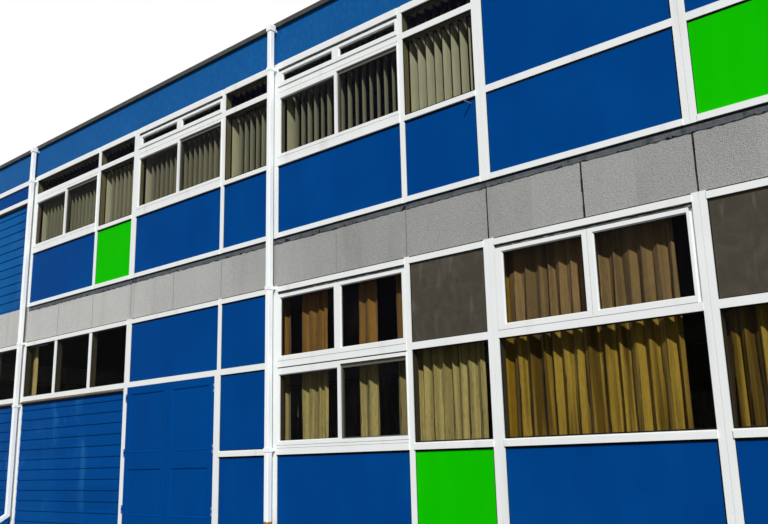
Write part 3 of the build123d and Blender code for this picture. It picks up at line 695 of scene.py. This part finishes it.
class SchoolColours(bpy.types.PropertyGroup):
    """Main colours of the block's finishes."""
    white: colour("White", "Paint of the frames", 240, 243, 241)
    blue: colour("Blue", "Infill panels", 0, 64, 134)
    green: colour("Green", "Accent panels", 12, 190, 0)
    fascia: colour("Fascia", "Parapet band", 14, 86, 150)
    boards: colour("Boards", "Painted boarding", 0, 68, 136)
    door: colour("Doors", "Door leaves", 0, 66, 136)
    concrete: colour("Concrete", "Precast panels", 187, 187, 184)
    lead: colour("Lead", "Flashing", 88, 93, 99)
    coping: colour("Coping", "Parapet capping", 54, 55, 54)
    blinds: colour("Blinds", "Vane cloth", 178, 176, 142)
    beige: colour("Beige curtains", "Cloth behind the sliding lights", 164, 150, 90)
    gold: colour("Gold curtains", "Cloth behind the big panes", 146, 121, 42)
    brown: colour("Brown curtains", "The same in the upper lights", 131, 107, 66)


def sizes():
    """The sizes as the user has set them."""
    return bpy.context.scene.school_sizes


def tone(name):
    """One of the colours as the user has set it."""
    return tuple(getattr(bpy.context.scene.school_colours, name))


# Operators

class SCHOOL_OT_paint_frames(bpy.types.Operator):
    """White paint on every frame member and sash"""
    bl_idname = "school.paint_frames"
    bl_label = "Paint frames"

    def execute(self, context):
        room = srgb(66, 60, 46)
        dress(["first_floor_posts", "ground_floor_posts", "first_floor_rails", "ground_floor_rails",
               "first_floor_sills", "ground_floor_sills", "door_jamb_strips", "fanlight_sashes",
               "sliding_frames"], white_paint("white_paint", tone("white"), room))
        stile = 0.045
        last = max(p.u1 for p in patches("top_hung_sashes") if p.wall is FRONT) - stile
        dress(["top_hung_sashes"], white_paint("sash_paint", tone("white"), room, last))
        dress(["inner_lights"], brushed_metal("grey_frames", srgb(86, 84, 74), 0.5, 0.1))
        return {"FINISHED"}


class SCHOOL_OT_paint_panels(bpy.types.Operator):
    """Blue and green infill panels and the fascia"""
    bl_idname = "school.paint_panels"
    bl_label = "Paint panels"

    def execute(self, context):
        blue = panel_paint("blue_enamel", tone("blue"), srgb(4, 76, 146))
        dress(["first_floor_blue_panels", "ground_floor_blue_panels"], blue)
        dress(["green_panels"], panel_paint("green_enamel", tone("green"), srgb(24, 196, 0)))
        dress(["parapet_fascia"], fascia_paint(tone("fascia"), srgb(34, 102, 164)))
        return {"FINISHED"}


class SCHOOL_OT_set_masonry(bpy.types.Operator):
    """Concrete panels, slabs, coping and drips"""
    bl_idname = "school.set_masonry"
    bl_label = "Finish masonry"

    def execute(self, context):
        dress(["concrete_panels"], aggregate(tone("concrete")))
        dress(["ground_slab", "first_floor_slab"], cast_concrete(srgb(150, 148, 142), srgb(52, 48, 42)))
        dress(["coping"], coping_metal(tone("coping"), srgb(80, 80, 76)))
        dress(["timber_drips"], weathered_timber(srgb(128, 112, 92), srgb(74, 62, 50)))
        return {"FINISHED"}


class SCHOOL_OT_lay_boards(bpy.types.Operator):
    """Shiplap boards in every boarded wall"""
    bl_idname = "school.lay_boards"
    bl_label = "Lay boards"

    def execute(self, context):
        pitch, lip = sizes().board_pitch, sizes().board_lip
        thick, tongue, inset = 0.03, 0.004, 0.001
        paint = board_paint("board_paint", tone("boards"), srgb(10, 90, 154), pitch)
        tree = repeat_tree("board_stack")
        for node in ("first_floor_boarding", "ground_floor_boarding"):
            meshes = []
            for wall in patches(node):
                bm = bmesh.new()
                face = wall.v1 - inset
                back, neck = face - thick, face - lip - tongue
                outline = [(back, -pitch), (face - 0.003, -pitch), (face, -pitch + 0.003),
                           (face, -pitch + 0.012), (face - lip * 0.55, -0.014), (face - lip, -0.010),
                           (neck, -0.004), (neck, 0.0), (back, 0.0)]
                sweep(bm, wall.wall, wall.u0, wall.u1, outline)
                bmesh.ops.recalc_face_normals(bm, faces=bm.faces)
                count = math.ceil(wall.height / pitch - 1e-6)
                rest = wall.height - (count - 1) * pitch
                meshes.append(run_tree(tree, mesh_of(bm, "board"), {
                    "Start": (0.0, 0.0, wall.z1), "Step": (0.0, 0.0, -pitch), "Count": count,
                    "Last height": rest / pitch, "Material": paint}))
            made = piece(node.replace("boarding", "boards"), join_meshes(meshes), paint)
            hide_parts(node)
        return {"FINISHED"}


class SCHOOL_OT_glaze(bpy.types.Operator):
    """Clear and obscured glass, with rubber round the fixed panes and the panels, widened into painted
    shadow at the panels' right sides and heads
    """
    bl_idname = "school.glaze"
    bl_label = "Glaze"

    def execute(self, context):
        dress(["first_floor_glass", "ground_floor_glass"], clear_glass("pane_glass", srgb(16, 17, 15), 0.09))
        # the sash panes' bluish colour is partly a painted reflection of the sky
        dress(["sash_glass"], clear_glass("sash_pane_glass", srgb(24, 23, 28), 0.12))
        dress(["grey_panes"], grey_glass(srgb(66, 61, 52), srgb(84, 78, 67)))
        width = sizes().gasket
        black = perished("gasket_rubber", srgb(14, 14, 13), srgb(36, 35, 31))
        # round the panels the black rubber is widened at the right and at the head into painted shadow
        round_panes, panel_rubber_widths_with_painted_shadow = (1.0, 1.0, 1.0, 1.0), (0.6, 1.9, 0.6, 2.2)
        for name, nodes in (
                ("first_floor_gaskets", ["first_floor_glass", "first_floor_blue_panels"]),
                ("ground_floor_gaskets", ["ground_floor_glass", "grey_panes", "ground_floor_blue_panels"]),
                ("green_gaskets", ["green_panels"])):
            bm = bmesh.new()
            for node in nodes:
                for pane in patches(node):
                    face = pane.v1
                    section = [(0, face), (width, face), (width * 0.8, face + 0.003), (0, face + 0.004)]
                    picture_frame(bm, pane, section, panel_rubber_widths_with_painted_shadow if "panels" in node else round_panes)
            piece(name, bm, black)
        return {"FINISHED"}


def steps_between(low, high, step):
    """Equal parts of about a step's length from low to high."""
    count = max(1, round((high - low) / step))
    return [(low + (high - low) * i / count, low + (high - low) * (i + 1) / count) for i in range(count)]


class SCHOOL_OT_seal_joints(bpy.types.Operator):
    """Old mastic over the opening sashes and along the heads of the ground floor"""
    bl_idname = "school.seal_joints"
    bl_label = "Seal joints"

    def execute(self, context):
        rng = random.Random(23)
        grey = perished("old_mastic", srgb(74, 80, 78), srgb(140, 146, 142))
        height, depth, set_back = 0.02, 0.028, 0.012
        bm = bmesh.new()
        for node in ("fanlight_sashes", "top_hung_sashes"):
            for light in patches(node):
                face = light.v1 - set_back
                ragged_strip(bm, light.wall, light.u0, light.u1, light.z1, light.z1 + height,
                             face - depth, face, rng, 0.2)
        piece("sash_mastic", bm, grey)

        brown = perished("head_mastic", srgb(44, 38, 35), srgb(96, 88, 80))
        rebate = 0.012
        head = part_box("ground_floor_posts")[1].z - 0.001
        bm = bmesh.new()
        for rail in patches("ground_floor_rails"):
            if rail.z1 > head:
                ragged_strip(bm, rail.wall, rail.u0, rail.u1, rail.z1, rail.z1 - rebate,
                             rail.v1 - rebate, rail.v1 - rebate * 0.7, rng, 0.25)
        piece("head_mastic", bm, brown)

        sealant = perished("joint_sealant", srgb(38, 28, 24), srgb(66, 54, 48), srgb(146, 145, 141))
        widest_joint, narrow_half, wide_half, wide_from = 0.03, 0.006, 0.009, 6.5
        under, over = 0.0001, 0.001
        bm = bmesh.new()
        panels = patches("concrete_panels")
        for a, b in zip(panels[:-1], panels[1:]):
            if a.wall is b.wall and 0 < b.u0 - a.u1 < widest_joint:
                middle = (a.u1 + b.u0) / 2
                half = wide_half if middle > wide_from else narrow_half
                for z0, z1 in steps_between(a.z0, a.z1, 0.11):
                    shift = rng.uniform(-0.0015, 0.0015)
                    reach = half * rng.uniform(0.8, 1.2)
                    sweep(bm, a.wall, middle + shift - reach, middle + shift + reach,
                          [(a.v1 + v, z) for v, z in ((under, z0), (over, z0), (over, z1), (under, z1))])
        piece("joint_sealant", bm, sealant)
        return {"FINISHED"}


def vane(wide, drop):
    """One slightly curled vane, hanging from just under its origin."""
    columns, rows, curl, below = 6, 8, 0.007, 0.004
    bm = bmesh.new()
    grid = []
    for r in range(rows + 1):
        across = [c / columns * 2 - 1 for c in range(columns + 1)]
        z = -below - drop * r / rows
        grid.append([bm.verts.new((t * wide / 2, curl * (t * t - 0.33), z)) for t in across])
    fill_grid(bm, grid)
    return mesh_of(bm, "vane")


class SCHOOL_OT_hang_blinds(bpy.types.Operator):
    """Vertical vanes behind the first-floor lights"""
    bl_idname = "school.hang_blinds"
    bl_label = "Hang blinds"

    def execute(self, context):
        wide, spacing = sizes().vane_width, sizes().vane_spacing
        cloth = blind_weave(tone("blinds"), srgb(146, 143, 108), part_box("sliding_frames")[1].z)
        tree = repeat_tree("vane_row")
        dress(["blind_rails", "curtain_tracks"], brushed_metal("track_metal", srgb(190, 190, 186), 0.4, 0.1))
        narrow_light, spare_drop, bright_from = 1.1, 0.012, 3.3
        narrow_start, wide_start, end_gap = 0.024, 0.05, 0.026
        for number, blind in enumerate(patches("vertical_blinds")):
            drop = blind.height - spare_drop
            narrow = blind.width < narrow_light
            first = blind.u0 + (narrow_start if narrow else wide_start)
            count = int((blind.u1 - end_gap - first) / spacing + 0.01) + 1
            middle = (blind.v0 + blind.v1) / 2
            start = blind.wall.at(first, middle, blind.z1)
            step = blind.wall.at(first + spacing, middle, blind.z1) - start
            along = math.atan2(step.y, step.x)
            first_turn = other_turn = sizes().closed_turn
            if blind.wall is FRONT:
                bright = narrow and blind.u0 > bright_from
                first_turn = sizes().narrow_turn
                other_turn = first_turn if bright else sizes().vane_turn
            rows = []
            for at, repeats, turn in ((0, 1, first_turn), (1, count - 1, other_turn)):
                rows.append(run_tree(tree, vane(wide, drop), {
                    "Start": tuple(start + step * at), "Step": tuple(step), "Count": repeats,
                    "Turn": along + turn, "Turn spread": math.radians(3), "Seed": number + 3,
                    "Material": cloth}))
            made = piece(f"blind_{number:02d}", join_meshes(rows), cloth, smooth=True)
            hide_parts("vertical_blinds")
        return {"FINISHED"}


def fold_line(width, depth, pitch, rng):
    """Points across a gathered curtain: how far along it and how far in front of its middle."""
    marks, at = [0.0], 0.0
    while at < width - 0.6 * pitch:
        at += pitch * rng.uniform(0.55, 1.45)
        marks.append(min(at, width))
    marks[-1] = width
    points, side, steps = [], 1, 10
    for a, b in zip(marks[:-1], marks[1:]):
        swell = depth * rng.uniform(0.45, 1.0)
        for i in range(steps):
            t = i / steps
            wave = math.sin(math.pi * t) ** 0.8 * side
            lean = 0.16 * (b - a) * math.sin(2 * math.pi * t)
            points.append((a + (b - a) * t + lean, swell * wave))
        side = -side
    points.append((width, 0.0))
    return points


class SCHOOL_OT_hang_curtains(bpy.types.Operator):
    """Gathered curtains behind the ground-floor lights"""
    bl_idname = "school.hang_curtains"
    bl_label = "Hang curtains"

    def execute(self, context):
        line = max(p.u0 for p in patches("curtain_tracks") if p.wall is FRONT)
        cloth = curtain_weave(tone("beige"), tone("gold"), srgb(134, 98, 42), tone("brown"),
                              srgb(66, 47, 12), line)
        rows, edge_folds, clear, spare_drop, ripple = 16, 4, 0.004, 0.012, 0.004
        spaces = patches("curtains")
        for a, b in zip(spaces[:-1], spaces[1:]):
            if a.wall is BACK and b.wall is BACK:
                a.u1 = b.u0 = (a.u1 + b.u0) / 2
        for number, space in enumerate(spaces):
            rng = random.Random(number + 11)
            depth = (space.v1 - space.v0) / 2 - clear
            folds = fold_line(space.u1 - space.u0, depth, sizes().fold_pitch, rng)
            drift = [rng.uniform(-0.012, 0.012) for _ in folds]
            middle = (space.v0 + space.v1) / 2
            bm = bmesh.new()
            grid = []
            for r in range(rows + 1):
                down = r / rows
                z = space.z1 - clear - (space.height - spare_drop) * down
                gather = 0.55 + 0.45 * min(1.0, down * 3)
                row = []
                for i, (along, out) in enumerate(folds):
                    edge = min(1.0, min(i, len(folds) - 1 - i) / edge_folds)
                    u = space.u0 + along + drift[i] * down * edge
                    v = middle + out * gather + ripple * math.sin(9 * down + i * 0.7)
                    u = min(max(u, space.u0), space.u1)
                    v = min(max(v, space.v0), space.v1)
                    row.append(bm.verts.new(space.wall.at(u, v, z)))
                grid.append(row)
            fill_grid(bm, grid)
            made = piece(f"curtain_{number:02d}", bm, cloth, smooth=True)
            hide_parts("curtains")
        return {"FINISHED"}


class SCHOOL_OT_dress_lead(bpy.types.Operator):
    """Lead over the head of the concrete, with its uneven dressed edge"""
    bl_idname = "school.dress_lead"
    bl_label = "Dress lead"

    def execute(self, context):
        low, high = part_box("lead_flashing")
        lead = lead_sheet(tone("lead"), srgb(108, 112, 117), low.z, high.z)
        rng = random.Random(5)
        thick, step, clear = 0.004, 0.05, 0.0016
        bm = bmesh.new()
        for run in patches("lead_flashing"):
            steps = int(run.width / step)
            wave = [rng.uniform(0.0, 1.0) for _ in range(steps + 3)]
            rings = []
            for i in range(steps + 1):
                u = run.u0 + run.width * i / steps
                slow = 0.5 + 0.5 * math.sin(u * 2.1) * math.cos(u * 0.83)
                lift = 0.005 * wave[i + 1]
                back, face = run.v0, run.v0 + thick
                z0, z1 = run.z0 + 0.022 * (wave[i] * 0.6 + slow * 0.4), run.z1
                bulge = face + 0.003 + 0.003 * wave[i + 2]
                section = [(back, z0), (face + lift, z0), (face + 0.001 + 0.5 * lift, z0 + 0.02),
                           (bulge, z1 - 0.036 + 0.004 * wave[i]), (bulge, z1 - 0.027),
                           (back + clear, z1 - 0.019), (back + clear, z1), (back, z1)]
                rings.append([bm.verts.new(run.wall.at(u, v, z)) for v, z in section])
            tube(bm, rings)
        made = piece("dressed_lead", bm, lead)
        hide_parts("lead_flashing")
        return {"FINISHED"}


class SCHOOL_OT_cover_roof(bpy.types.Operator):
    """Felt in lapped sheets on the roof deck"""
    bl_idname = "school.cover_roof"
    bl_label = "Cover roof"

    def execute(self, context):
        low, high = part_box("roof_deck")
        width, lap, margin, thick, rise = sizes().felt_width, 0.05, 0.03, 0.003, 0.004
        count = int((high.x - low.x - 0.1) / width)
        start = (low.x + high.x) / 2 - (count - 1) * width / 2
        cover = felt(srgb(104, 108, 106), srgb(132, 132, 126), start + width / 2 + lap, width)
        dress(["roof_deck"], cover)
        half = Vector((width / 2 + lap, (high.y - low.y) / 2 - margin, thick))
        bm = bmesh.new()
        bmesh.ops.create_cube(bm, size=2, matrix=Matrix.Diagonal((*half, 1)))
        for vert in bm.verts:
            vert.co.z += thick + (rise if vert.co.x > 0 else 0.0)
        sheets = run_tree(repeat_tree("felt_sheets"), mesh_of(bm, "felt"), {
            "Start": (start, (low.y + high.y) / 2, high.z), "Step": (width, 0.0, 0.0), "Count": count,
            "Material": cover})
        piece_from_mesh("roof_sheets", sheets, cover)
        return {"FINISHED"}


class SCHOOL_OT_fit_pipes(bpy.types.Operator):
    """Downpipes, sockets and the rusted shoes"""
    bl_idname = "school.fit_pipes"
    bl_label = "Finish pipes"

    def execute(self, context):
        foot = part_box("pipe_shoes")[1].z
        paint = pipe_paint(srgb(250, 253, 253), srgb(150, 78, 26), srgb(205, 130, 60), foot - 0.03)
        dress(["downpipes", "pipe_shoes", "pipe_fittings"], paint)
        dress(["window_stay"], brushed_metal("stay_metal", srgb(176, 160, 150), 0.4, 0.5))
        return {"FINISHED"}


class SCHOOL_OT_hang_doors(bpy.types.Operator):
    """Double doors' paint and hinges"""
    bl_idname = "school.hang_doors"
    bl_label = "Finish doors"

    def execute(self, context):
        door = panel_paint("door_paint", tone("door"), srgb(0, 72, 142), 0.01)
        for side in ("left", "right"):
            dress([f"door_{part}_{side}" for part in ("frame", "panels", "beads", "hinges")], door)
        dress(["frame_hinges"], brushed_metal("hinge_steel", srgb(112, 132, 158), 0.5, 0.2))
        return {"FINISHED"}


# Where the camera stands in metres, its turns in degrees and its lens in millimetres
CAMERA_PLACE = (10.498, -11.185, 0.995)
YAW, PITCH, ROLL = 40.873, 13.249, 1.424
LENS, SENSOR = 39.98, 36.0

# Direction towards each lamp, its power and its spread in degrees
LAMPS = {"key_light": ((0.85, -1.0, 1.06), 3.95, 1.5), "back_light": ((-0.8, 1.0, 0.75), 1.6, 40.0)}
AMBIENT = 0.2
FLOOR_LIT, FLOOR_SEEN = (0.14, 0.14, 0.14), (0.86, 0.86, 0.86)


class SCHOOL_OT_set_stage(bpy.types.Operator):
    """Pale floor, soft light and the camera"""
    bl_idname = "school.set_stage"
    bl_label = "Set stage"

    def execute(self, context):
        scene = context.scene
        scene.view_settings.view_transform = "Standard"
        bm = bmesh.new()
        bmesh.ops.create_grid(bm, x_segments=1, y_segments=1, size=150)
        floor = bpy.data.objects.new("floor", mesh_of(bm, "floor"))
        scene.collection.objects.link(floor)
        m = Finish("floor_paint")
        path = m.node("ShaderNodeLightPath", out="Is Camera Ray")
        floor.data.materials.append(m.finish(m.mix(path, FLOOR_LIT, FLOOR_SEEN), 0.9, gloss=0.0))

        world = bpy.data.worlds.new("studio")
        scene.world = world
        world.use_nodes = True
        world.node_tree.nodes.clear()
        g = Graph(world.node_tree)
        rays = g.add("ShaderNodeLightPath").outputs
        seen = (Wire(g, rays["Is Camera Ray"]) + Wire(g, rays["Is Glossy Ray"])
                + Wire(g, rays["Is Transmission Ray"]))
        strength = seen.math("MINIMUM", seen, 1.0) * (1.0 - AMBIENT) + AMBIENT
        light = g.node("ShaderNodeBackground", inputs={0: (1.0, 1.0, 1.0, 1.0), 1: strength})
        g.add("ShaderNodeOutputWorld", inputs={0: light})

        for name, (aim, power, spread) in LAMPS.items():
            lamp = bpy.data.lights.new(name, "SUN")
            lamp.energy, lamp.angle = power, math.radians(spread)
            holder = bpy.data.objects.new(name, lamp)
            holder.rotation_mode = "QUATERNION"
            holder.rotation_quaternion = Vector(aim).to_track_quat("Z", "Y")
            scene.collection.objects.link(holder)

        lens = bpy.data.cameras.new("view_camera")
        lens.lens, lens.sensor_width, lens.clip_end = LENS, SENSOR, 500.0
        camera = bpy.data.objects.new("view_camera", lens)
        turn = Matrix.Identity(3)
        for degrees, axis in ((YAW, "Z"), (PITCH, "X"), (ROLL, "Y")):
            turn = turn @ Matrix.Rotation(math.radians(degrees), 3, axis)
        right, ahead, up = (turn.col[i] for i in range(3))
        axes = Matrix((right, up, -ahead)).transposed().to_4x4()
        camera.matrix_world = Matrix.Translation(CAMERA_PLACE) @ axes
        scene.collection.objects.link(camera)
        scene.camera = camera
        return {"FINISHED"}


OPERATORS = (SCHOOL_OT_set_stage, SCHOOL_OT_paint_frames, SCHOOL_OT_paint_panels, SCHOOL_OT_set_masonry,
             SCHOOL_OT_lay_boards, SCHOOL_OT_glaze, SCHOOL_OT_seal_joints, SCHOOL_OT_hang_blinds,
             SCHOOL_OT_hang_curtains, SCHOOL_OT_dress_lead, SCHOOL_OT_cover_roof, SCHOOL_OT_fit_pipes,
             SCHOOL_OT_hang_doors)


class SCHOOL_PT_dressing(bpy.types.Panel):
    """Lists the sizes, colours and steps of the dressing"""
    bl_idname = "SCHOOL_PT_dressing"
    bl_label = "School block"
    bl_space_type = "VIEW_3D"
    bl_region_type = "UI"
    bl_category = "School"

    def draw(self, context):
        for group in (context.scene.school_sizes, context.scene.school_colours):
            for name in group.bl_rna.properties.keys():
                if name not in ("rna_type", "name"):
                    self.layout.prop(group, name)
        for step in OPERATORS:
            self.layout.operator(step.bl_idname)


CLASSES = (SchoolSizes, SchoolColours, *OPERATORS, SCHOOL_PT_dressing)


def register():
    for cls in CLASSES:
        bpy.utils.register_class(cls)
    bpy.types.Scene.school_sizes = PointerProperty(type=SchoolSizes)
    bpy.types.Scene.school_colours = PointerProperty(type=SchoolColours)


def unregister():
    del bpy.types.Scene.school_colours
    del bpy.types.Scene.school_sizes
    for cls in reversed(CLASSES):
        bpy.utils.unregister_class(cls)


def main():
    register()
    for step in OPERATORS:
        group, name = step.bl_idname.split(".")
        getattr(getattr(bpy.ops, group), name)()


if __name__ == "__main__":
    main()
